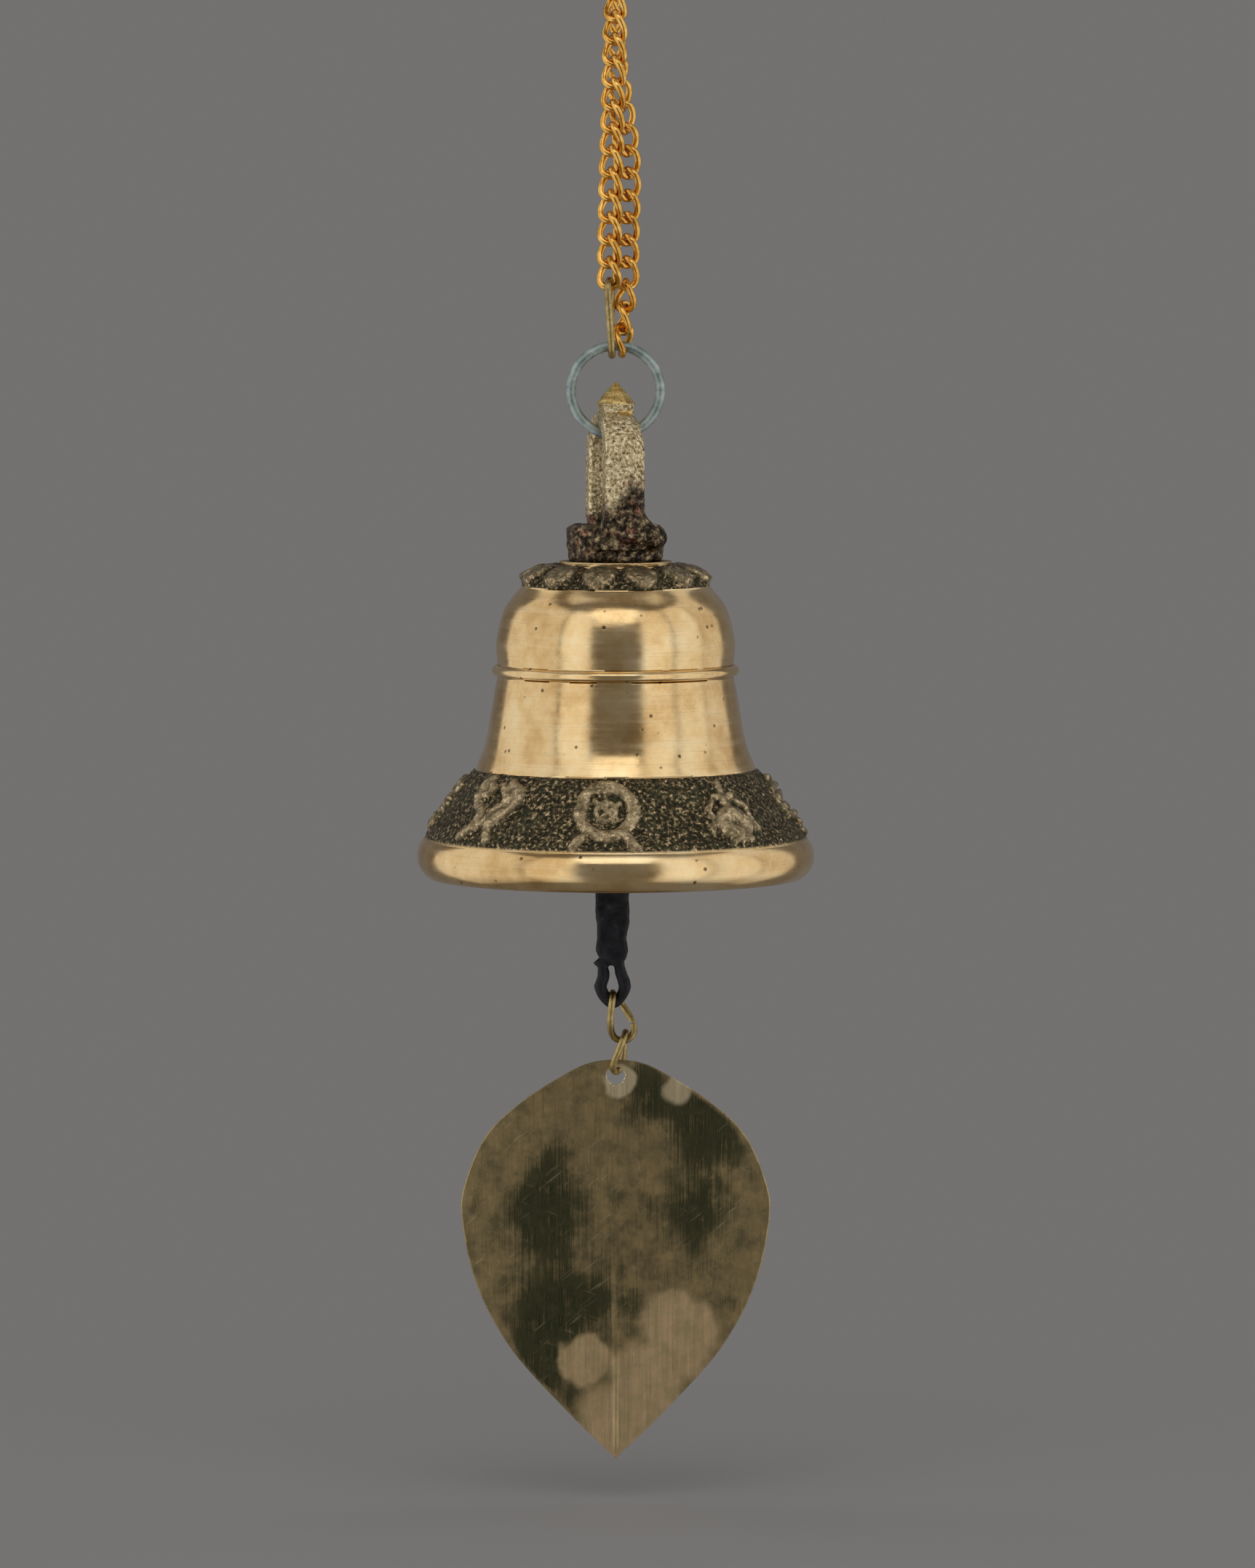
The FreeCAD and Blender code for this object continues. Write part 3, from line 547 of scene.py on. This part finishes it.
def clapper():
    """Forged bar from the staple down through the mouth, drawn out into a hook."""
    def section(z, x, half_width, half_depth):
        cut = 0.55
        outline = [(-half_width, cut - half_depth), (cut - half_width, -half_depth),
                   (half_width - cut, -half_depth), (half_width, cut - half_depth),
                   (half_width, half_depth - cut), (half_width - cut, half_depth),
                   (cut - half_width, half_depth), (-half_width, half_depth - cut)]
        return [(x + a, b, z) for a, b in outline]

    stations = [(-18.2, -0.1, 1.5, 1.2), (-16.6, -0.5, 2.7, 1.5),
                (-15.0, CLAPPER_X - 0.1, 3.2, 1.7), (-12.6, CLAPPER_X - 0.2, 2.9, 1.6),
                (-9.0, CLAPPER_X + 0.1, 3.3, 1.75),
                (-4.5, CLAPPER_X - 0.1, 3.3, 1.6), (0, CLAPPER_X, 3.55, 1.75),
                (9.0, -0.5, 3.4, 1.6), (20.0, -0.3, 3.2, 1.7), (34.0, 0, 3.1, 1.6),
                (44.5, 0, 3.1, 1.9)]
    blade = loft([section(*station) for station in stations])
    turn = np.linspace(0, 2 * math.pi, 60)
    eye_ring = [(0, EYE_BAND_R * math.cos(t), EYE_Z + EYE_BAND_R * math.sin(t)) for t in turn[:-1]]
    rim = np.array([(1, EYE_HALF_WIDTH), (1, -EYE_HALF_WIDTH), (-1, -EYE_HALF_WIDTH),
                    (-1, EYE_HALF_WIDTH)])
    bands = []
    for point, t in zip(eye_ring, turn):
        outward = np.array([0, math.cos(t), math.sin(t)])
        bands.append([np.array(point) + outward * EYE_BAND_HALF_THICKNESS * a
                      + np.array([b, 0, 0]) for a, b in rim])
    bands = np.array(bands)
    eye = (bands.reshape(-1, 3),
           [list(f) for f in grid_faces(len(bands), 4, True)]
           + [[(len(bands) - 1) * 4 + i, (len(bands) - 1) * 4 + (i + 1) % 4, (i + 1) % 4, i]
              for i in range(4)])
    foot = HOOK_BOTTOM + HOOK_R
    hook = curve_through([(0.3, 0, -16.4), (1.15, 0, -19.6), (1.85, 0, -22.9), (CLAPPER_X, 0, foot),
                          (-3.02, 0, -22.9), (-2.5, 0, -20.2), (-2.6, 0, -18.2),
                          (-3.6, 0, -16.9)], 60)
    thickness = HOOK_R * np.interp(np.arange(60), [0, 12, 50, 59], [1.15, 1.0, 1.0, 0.92])
    piece = one_skin("clapper_forging", [blade, eye, tube(hook, thickness)], 0.22)
    points = vertex_array(piece.data, "co")
    normals = vertex_array(piece.data, "normal")
    near_hole = bump_at(np.hypot(points[:, 1], points[:, 2] - EYE_Z), 3.4)
    near_bend = bump_at(points[:, 2] + 26, 4.5)
    dents = (0.22 * noise(points, 3.6, 51) + 0.1 * noise(points, 1.4, 52)
             + 0.04 * noise(points, 0.6, 53))
    points += normals * (dents * (1 - near_hole) * (1 - 0.8 * near_bend))[:, None]
    worn = smoothstep(0.2, 0.6, layered(points, 2.0, 54)) * (0.4 + 0.6 * near_bend)
    finish_piece(piece, points, {"worn": worn})
    return piece


# ---------------------------------------------------------------- leaf

def leaf():
    """Hand-cut sheet with an embossed midrib on its lower half, bent a little."""
    rows, columns = 260, 150
    edge = curve_through(LEAF_EDGE, rows)
    drop, half = edge[:, 0], np.maximum(edge[:, 1], 0.02)
    across = np.sin(np.linspace(-math.pi / 2, math.pi / 2, columns))
    across = 0.35 * across + 0.65 * np.linspace(-1, 1, columns)
    x = half[:, None] * across[None]
    down = np.repeat(drop[:, None], columns, 1)
    flat = np.stack([x, np.zeros(x.shape), LEAF_TOP - down], -1)
    bend = 0.35 * noise(flat, 26, 61) + 0.12 * noise(flat, 9, 62) + 0.9 * (x / 31) ** 2
    bend *= smoothstep(5, 14, down)
    bend -= 0.7 * smoothstep(66, 82, down) ** 2
    rib = (0.12 * np.exp(-(x / 0.5) ** 2) * smoothstep(34, 46, down)
           * (1 - smoothstep(79, 81.6, down)))
    hammer = 0.02 * noise(flat, 2.2, 63)
    front, back = flat.copy(), flat.copy()
    front[..., 1] = bend - LEAF_HALF_THICKNESS - rib + hammer
    back[..., 1] = bend + LEAF_HALF_THICKNESS + 0.6 * rib + hammer
    ring = np.concatenate([front, back[:, ::-1]], 1)
    points, faces = loft(ring)
    piece = make_piece("leaf_sheet", points, [f[::-1] for f in faces])
    cutter_turn = np.linspace(0, 2 * math.pi, 40, endpoint=False)
    ragged = HOLE_R + 0.06 * np.sin(3 * cutter_turn) + 0.04 * np.sin(7 * cutter_turn + 1)
    hole_z = LEAF_TOP - HOLE_BELOW_TOP
    drill = make_piece("drill", *loft([[(r * math.cos(t), y, hole_z + r * math.sin(t))
                                        for r, t in zip(ragged, cutter_turn)]
                                       for y in (3.0, -3.0)]))
    cut = piece.modifiers.new("hole", "BOOLEAN")
    cut.operation = "DIFFERENCE"
    cut.object = drill
    apply_modifiers(piece)
    bpy.data.objects.remove(drill)

    points = vertex_array(piece.data, "co")
    x, down = points[:, 0], LEAF_TOP - points[:, 2]
    sheet = points * [1, 0, 1]
    ragged_edge = 1.6 * layered(sheet, 4.5, 71, 4)

    def spot(at_x, at_down, radius, soft=0.9, tall=1.0):
        distance = np.hypot(x - at_x, (down - at_down) / tall) + ragged_edge * radius / 5
        return 1 - smoothstep(radius - soft, radius + soft, distance)

    washed = np.maximum(spot(0.9, 4.4, 3.3, 0.5), spot(12.6, 6.2, 3.0, 0.6))
    pink = np.maximum.reduce([spot(-6.6, 61.6, 5.2, 0.8, 1.1), spot(13.0, 57.0, 8.0, 1.6, 1.15),
                              spot(6.5, 66.0, 8.2, 2.0, 1.1), spot(-1.5, 72.0, 6.0, 2.4),
                              spot(3.0, 76.0, 7.5, 1.2)])
    stain = 0.12 + 0.6 * layered(sheet * [1, 1, 0.6], 8.0, 81, 4)
    for at_x, at_down, wide, tall, depth in STAINS:
        stain += depth * np.exp(-((x - at_x) / wide) ** 2 - ((down - at_down) / tall) ** 2)
    rim = 0.6 * smoothstep(0.9, 1.0, np.abs(x) / np.maximum(np.interp(down, drop, half), 0.1))
    # Painted highlight: the next term thins the patina in a strip along the left side of the
    # midrib, so a lighter line runs down the rib.
    rib_highlight = 0.5 * bump_at(x + 0.3, 0.9) * smoothstep(36, 52, down)
    patina_and_rib_highlight = smoothstep(-0.1, 0.85, stain - rim - rib_highlight)
    finish_piece(piece, points, {"patina_and_rib_highlight": patina_and_rib_highlight, "washed": washed, "pink": pink})
    return piece


# ---------------------------------------------------------------- materials

class Finish:
    """A metal's material, built up from the surface's own coordinates and masks."""

    def __init__(self, name, **fixed):
        self.material = bpy.data.materials.new(name)
        self.material.use_nodes = True
        self.tree = self.material.node_tree
        self.shader = self.tree.nodes["Principled BSDF"]
        for socket, value in fixed.items():
            self.shader.inputs[socket.replace("_", " ")].default_value = value
        self.place = self.tree.nodes.new("ShaderNodeTexCoord").outputs["Object"]

    def node(self, kind, inputs, **settings):
        node = self.tree.nodes.new("ShaderNode" + kind)
        for key, value in settings.items():
            setattr(node, key, value)
        for socket, value in inputs.items():
            if isinstance(value, bpy.types.NodeSocket):
                self.tree.links.new(value, node.inputs[socket])
            else:
                node.inputs[socket].default_value = value
        return node

    def stretched(self, x, y, z, turn=(0, 0, 0)):
        """The surface's coordinates turned, then stretched."""
        inputs = {"Vector": self.place, "Scale": (1 / x, 1 / y, 1 / z), "Rotation": turn}
        return self.node("Mapping", inputs, vector_type="TEXTURE").outputs[0]

    def noise(self, size, detail=3.0, rough=0.6, at=None):
        inputs = {"Vector": at or self.place, "Scale": 1 / (size * MM), "Detail": detail,
                  "Roughness": rough}
        return self.node("TexNoise", inputs).outputs["Fac"]

    def mask(self, name):
        return self.node("Attribute", {}, attribute_name=name).outputs["Fac"]

    def level(self, value, low, high, out_low=0.0, out_high=1.0):
        inputs = {"Value": value, "From Min": low, "From Max": high, "To Min": out_low,
                  "To Max": out_high}
        return self.node("MapRange", inputs).outputs[0]

    def math(self, operation, a, b):
        return self.node("Math", {0: a, 1: b}, operation=operation).outputs[0]

    def mix(self, share, a, b):
        """Mix of two colours, which are inputs 6 and 7 and output 2 of the node."""
        node = self.node("Mix", {0: share}, data_type="RGBA")
        for index, value in ((6, a), (7, b)):
            if isinstance(value, bpy.types.NodeSocket):
                self.tree.links.new(value, node.inputs[index])
            else:
                node.inputs[index].default_value = (*value, 1)
        return node.outputs[2]

    def ramp(self, value, stops):
        node = self.node("ValToRGB", {"Fac": value})
        elements = node.color_ramp.elements
        while len(elements) < len(stops):
            elements.new(0.5)
        for element, (position, colour) in zip(elements, stops):
            element.position = position
            element.color = (*colour, 1)
        return node.outputs["Color"]

    def bump(self, height, depth, after=None):
        """Bump whose full height is the depth given, in millimetres."""
        inputs = {"Height": height, "Distance": depth * MM}
        if after is not None:
            inputs["Normal"] = after
        return self.node("Bump", inputs).outputs["Normal"]

    def pits(self, spacing, size, share):
        """1 in small scattered pits."""
        cells = self.node("TexVoronoi", {"Vector": self.place, "Scale": 1 / (spacing * MM)})
        near = self.level(cells.outputs["Distance"], size / spacing, size / spacing * 0.5)
        some = self.level(self.noise(spacing * 3, 1), 1 - share, 1 - share + 0.04)
        return self.math("MULTIPLY", near, some)

    def set(self, socket, value):
        self.tree.links.new(value, self.shader.inputs[socket])


def bell_brass():
    brass = Finish("bell_brass", Metallic=1.0)
    cast, high = brass.mask("cast"), brass.mask("high")
    lines = brass.noise(0.30, 4, 0.75, brass.stretched(0.02, 0.02, 1))
    broad = brass.noise(1.5, 3, 0.6, brass.stretched(0.06, 0.06, 1))
    tarnish = brass.noise(11, 5, 0.66)
    pits = brass.pits(3.1, 0.5, 0.50)
    polished = brass.ramp(tarnish, [(0.34, (0.88, 0.68, 0.38)), (0.50, (0.80, 0.56, 0.27)),
                                    (0.64, (0.64, 0.41, 0.17))])
    polished = brass.mix(brass.level(broad, 0.5, 0.75, 0, 0.4), polished, (0.90, 0.72, 0.44))
    polished = brass.mix(brass.level(lines, 0.56, 0.68, 0, 0.3), polished, (0.42, 0.29, 0.13))
    polished = brass.mix(pits, polished, (0.17, 0.11, 0.05))
    grain = brass.noise(0.72, 3, 0.62)
    grain_high = brass.math("ADD", grain, brass.math("MULTIPLY", high, 0.05))
    speckled = brass.ramp(grain_high, [(0.42, (0.034, 0.030, 0.020)), (0.54, (0.10, 0.08, 0.043)),
                                       (0.61, (0.34, 0.25, 0.13)), (0.70, (0.86, 0.66, 0.42))])
    raised = brass.mix(brass.level(brass.noise(1.6, 3), 0.38, 0.62), (0.27, 0.205, 0.11),
                       (0.78, 0.60, 0.36))
    speckled = brass.mix(brass.math("MULTIPLY", high, 0.55), speckled, raised)
    speckled = brass.mix(brass.level(brass.noise(5, 3), 0.5, 0.75, 0, 0.3), speckled,
                         (0.11, 0.13, 0.065))
    brass.set("Base Color", brass.mix(cast, polished, speckled))
    smooth_roughness = brass.level(broad, 0.3, 0.75, 0.12, 0.24)
    cast_roughness = brass.math("SUBTRACT", brass.level(grain, 0.40, 0.65, 0.60, 0.30),
                                brass.math("MULTIPLY", high, 0.14))
    mixed = brass.math("ADD", brass.math("MULTIPLY", cast, cast_roughness),
                       brass.math("MULTIPLY", brass.math("SUBTRACT", 1.0, cast), smooth_roughness))
    brass.set("Roughness", mixed)
    turning = brass.bump(brass.math("SUBTRACT", lines, pits), 0.012)
    sand = brass.math("MULTIPLY", grain,
                      brass.math("SUBTRACT", cast, brass.math("MULTIPLY", high, 0.55)))
    brass.set("Normal", brass.bump(sand, 0.5, turning))
    return brass.material


def handle_brass():
    brass = Finish("handle_brass", Metallic=1.0)
    scorch, copper, filed = brass.mask("scorch"), brass.mask("copper"), brass.mask("filed")
    grain = brass.noise(0.7, 3, 0.65)
    pale = brass.ramp(grain, [(0.34, (0.14, 0.105, 0.05)), (0.46, (0.46, 0.36, 0.19)),
                              (0.56, (0.74, 0.61, 0.37)), (0.66, (0.95, 0.84, 0.60))])
    burnt = brass.ramp(brass.noise(1.3, 4, 0.7),
                       [(0.40, (0.014, 0.011, 0.009)), (0.50, (0.075, 0.055, 0.035)),
                        (0.58, (0.24, 0.18, 0.10)), (0.68, (0.52, 0.42, 0.26))])
    red = brass.ramp(grain, [(0.42, (0.09, 0.03, 0.02)), (0.60, (0.60, 0.25, 0.17))])
    colour = brass.mix(scorch, pale, burnt)
    colour = brass.mix(brass.math("MULTIPLY", copper, 0.8), colour, red)
    strokes = brass.noise(0.7, 3, 0.6, brass.stretched(0.15, 0.15, 1))
    gold = brass.mix(brass.level(strokes, 0.35, 0.65), (0.52, 0.32, 0.09), (0.95, 0.70, 0.28))
    brass.set("Base Color", brass.mix(filed, colour, gold))
    rough = brass.math("SUBTRACT", brass.level(grain, 0.38, 0.65, 0.55, 0.26),
                       brass.math("MULTIPLY", filed, 0.08))
    brass.set("Roughness", rough)
    gritty = brass.math("MULTIPLY", grain, brass.math("SUBTRACT", 1.0, filed))
    brass.set("Normal", brass.bump(strokes, 0.02, brass.bump(gritty, 0.36)))
    return brass.material


def black_iron():
    iron = Finish("black_iron", Metallic=0.7)
    scale = iron.noise(2.2, 5, 0.7)
    colour = iron.ramp(scale, [(0.35, (0.010, 0.010, 0.012)), (0.6, (0.030, 0.031, 0.036)),
                               (0.78, (0.085, 0.075, 0.07))])
    iron.set("Base Color", iron.mix(iron.math("MULTIPLY", iron.mask("worn"), 0.4), colour,
                                    (0.14, 0.13, 0.13)))
    iron.set("Roughness", iron.level(scale, 0.3, 0.7, 0.42, 0.68))
    iron.set("Normal", iron.bump(iron.noise(0.7, 4, 0.7), 0.12))
    return iron.material


def zinc_steel():
    zinc = Finish("zinc_steel", Metallic=1.0)
    cloud = zinc.noise(2.4, 4, 0.65)
    colour = zinc.ramp(cloud, [(0.36, (0.22, 0.27, 0.255)), (0.52, (0.34, 0.40, 0.38)),
                               (0.70, (0.50, 0.56, 0.535))])
    scratches = zinc.noise(0.9, 2, 0.5, zinc.stretched(0.5, 1.2, 0.4, (0.3, 0.5, 0.2)))
    dark = zinc.level(scratches, 0.70, 0.76)
    zinc.set("Base Color", zinc.mix(dark, colour, (0.07, 0.08, 0.085)))
    zinc.set("Roughness", zinc.level(cloud, 0.3, 0.7, 0.42, 0.58))
    zinc.set("Normal", zinc.bump(zinc.math("SUBTRACT", zinc.noise(0.5), dark), 0.012))
    return zinc.material


def antique_brass():
    brass = Finish("antique_brass", Metallic=1.0)
    cloud = brass.noise(3.0, 4, 0.65)
    colour = brass.ramp(cloud, [(0.35, (0.28, 0.20, 0.08)), (0.55, (0.48, 0.36, 0.15)),
                                (0.72, (0.68, 0.53, 0.25))])
    brass.set("Base Color", colour)
    brass.set("Roughness", brass.level(brass.noise(0.8), 0.3, 0.7, 0.30, 0.45))
    brass.set("Normal", brass.bump(brass.noise(0.35, 3, 0.6, brass.stretched(1, 1, 0.4)), 0.02))
    return brass.material


def chain_gold():
    gold = Finish("chain_gold", Metallic=1.0)
    cloud = gold.noise(2.0, 3, 0.6)
    gold.set("Base Color", gold.ramp(cloud, [(0.36, (0.56, 0.27, 0.045)),
                                             (0.5, (0.78, 0.42, 0.085)),
                                             (0.66, (0.92, 0.57, 0.16))]))
    gold.set("Roughness", gold.level(gold.noise(1.6), 0.3, 0.7, 0.14, 0.27))
    gold.set("Normal", gold.bump(gold.noise(0.8, 2), 0.012))
    return gold.material


def leaf_brass():
    brass = Finish("leaf_brass", Metallic=1.0)
    # The leaf's patina mask also carries a painted highlight: it is thinned along the left side of
    # the midrib.
    patina_and_rib_highlight, washed, pink = brass.mask("patina_and_rib_highlight"), brass.mask("washed"), brass.mask("pink")
    brushing = brass.noise(0.34, 4, 0.7, brass.stretched(1, 1, 0.02))
    cloud = brass.noise(4.5, 6, 0.7)
    clean = brass.mix(brass.level(cloud, 0.35, 0.68), (0.50, 0.375, 0.18), (0.30, 0.235, 0.12))
    dark = brass.mix(brass.level(cloud, 0.35, 0.68), (0.045, 0.055, 0.028), (0.13, 0.12, 0.06))
    uneven = brass.math("ADD", patina_and_rib_highlight, brass.level(cloud, 0.35, 0.65, -0.28, 0.28))
    streaky = brass.math("ADD", uneven, brass.level(brushing, 0.38, 0.62, -0.3, 0.3))
    colour = brass.mix(brass.level(streaky, 0.1, 0.9), clean, dark)
    rosy = brass.mix(brass.level(cloud, 0.38, 0.64), (0.90, 0.64, 0.36), (0.66, 0.52, 0.27))
    colour = brass.mix(pink, colour, rosy)
    colour = brass.mix(brass.math("MULTIPLY", washed, 0.85), colour, (0.92, 0.76, 0.48))
    scuffs = brass.noise(0.5, 2, 0.5, brass.stretched(0.07, 1, 1, (0, -0.7, 0)))
    other = brass.noise(0.6, 2, 0.5, brass.stretched(0.06, 1, 1, (0, 0.35, 0)))
    scratch = brass.math("MAXIMUM", brass.level(scuffs, 0.64, 0.74), brass.level(other, 0.68, 0.78))
    where = brass.level(brass.noise(22, 2), 0.42, 0.6)
    scratch = brass.math("MULTIPLY", scratch, where)
    colour = brass.mix(brass.math("MULTIPLY", scratch, 0.55), colour, (0.66, 0.56, 0.33))
    brass.set("Base Color", colour)
    brass.set("Roughness", brass.level(brushing, 0.3, 0.7, 0.26, 0.46))
    grooves = brass.math("SUBTRACT", brushing, brass.math("MULTIPLY", scratch, 0.6))
    brass.set("Normal", brass.bump(grooves, 0.02))
    return brass.material


def floor_paper():
    """Pale paper that melts into the room's grey away from the bell."""
    paper = Finish("floor_paper", Roughness=0.9)
    paper.set("Base Color", paper.mix(paper.noise(300, 2), (0.30, 0.293, 0.29),
                                      (0.33, 0.322, 0.318)))
    flat = paper.stretched(1, 1, 0.001)
    reach = paper.node("VectorMath", {0: flat}, operation="LENGTH").outputs["Value"]
    paper.set("Alpha", paper.level(reach, FLOOR_FADE[1] * MM, FLOOR_FADE[0] * MM))
    return paper.material


# ---------------------------------------------------------------- stage

CAMERA_DISTANCE = 1520
CAMERA_Z = 132
AIM = (2.4, 0, 18.8)
FRAME_HEIGHT = 316.5
SENSOR = 36
PANEL_DISTANCE = 0.9
PANEL_AIM_Z = 25
GREY = (0.172, 0.166, 0.163)
FLOOR_FADE = (40, 240)
FLOOR_BELOW_LEAF = 9


def camera():
    view = bpy.data.cameras.new("camera")
    view.sensor_fit = "VERTICAL"
    view.sensor_height = SENSOR
    view.lens = SENSOR * CAMERA_DISTANCE / FRAME_HEIGHT
    obj = bpy.data.objects.new("camera", view)
    bpy.context.scene.collection.objects.link(obj)
    obj.location = in_frame([AIM[0], -CAMERA_DISTANCE, CAMERA_Z])
    fall = math.atan2(CAMERA_Z - AIM[2], CAMERA_DISTANCE)
    obj.rotation_euler = (math.pi / 2 - fall, 0, 0)
    bpy.context.scene.camera = obj


def panel(name, azimuth, elevation, spread, rise, radiance):
    """Flat diffuse light seen from the bell over a given spread and rise, in degrees."""
    light = bpy.data.lights.new(name, "AREA")
    light.shape = "RECTANGLE"
    light.size = 2 * PANEL_DISTANCE * math.tan(math.radians(spread / 2))
    light.size_y = 2 * PANEL_DISTANCE * math.tan(math.radians(rise / 2))
    light.energy = radiance * math.pi * light.size * light.size_y
    obj = bpy.data.objects.new(name, light)
    bpy.context.scene.collection.objects.link(obj)
    a, e = math.radians(azimuth), math.radians(elevation)
    out = np.array([math.sin(a) * math.cos(e), -math.cos(a) * math.cos(e), math.sin(e)])
    centre = in_frame([0, 0, PANEL_AIM_Z])
    obj.location = centre + out * PANEL_DISTANCE
    obj.rotation_euler = (math.pi / 2 - e, 0, a)
    obj.visible_camera = False


def studio():
    """White panels round the sides, one high in front and one overhead."""
    for start, end, radiance in ((-128, -57, 0.62), (-54, -24, 0.80), (26, 57, 0.78),
                                 (60, 93, 0.68), (95, 124, 0.56)):
        panel("side", (start + end) / 2, 0, end - start, 104, radiance)
    panel("front_high", 0, 47, 36, 30, 1.15)
    panel("overhead", 180, 80, 60, 36, 0.45)
    world = bpy.data.worlds.new("room")
    world.use_nodes = True
    world.node_tree.nodes["Background"].inputs["Color"].default_value = (*GREY, 1)
    bpy.context.scene.world = world
    bpy.context.scene.view_settings.view_transform = "Standard"


def floor():
    """Pale sheet below the leaf, round and thin."""
    z = (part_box("leaf")[0].z - mouth_z) / MM - FLOOR_BELOW_LEAF
    turn = np.linspace(0, 2 * math.pi, 96, endpoint=False)
    radii = (20, 120, 400, 1000, 3000)
    rings = [[(r * math.cos(t), r * math.sin(t), z) for t in turn] for r in radii]
    points, faces = loft(np.array(rings))
    sheet = make_piece("floor", in_frame(points), faces[:-1])
    sheet.data.materials.append(floor_paper())


# ---------------------------------------------------------------- the object

def dress(piece, body, slot, material, *nodes):
    """Gives a new piece its material and its body, and hides the CAD nodes that it stands for."""
    piece.data.materials.clear()
    piece.data.materials.append(material)
    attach(piece, body)
    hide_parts(*nodes)


def main():
    metals = {make.__name__: make() for make in (bell_brass, handle_brass, black_iron, zinc_steel,
                                                 antique_brass, chain_gold, leaf_brass)}
    dress(bell_body(), "bell", "bell_brass", metals["bell_brass"], "bell_body")
    dress(handle(), "bell", "handle_brass", metals["handle_brass"], "handle")
    dress(clapper(), "clapper", "black_iron", metals["black_iron"], "clapper")
    dress(leaf(), "leaf", "leaf_brass", metals["leaf_brass"], "leaf")
    slots = {part["node"]: part["material_slot"] for part in frame["record"]["subparts"]}
    for name, node in frame["nodes"].items():
        node.data.materials.clear()
        node.data.materials.append(metals[slots[name]])
    floor()
    studio()
    camera()


main()
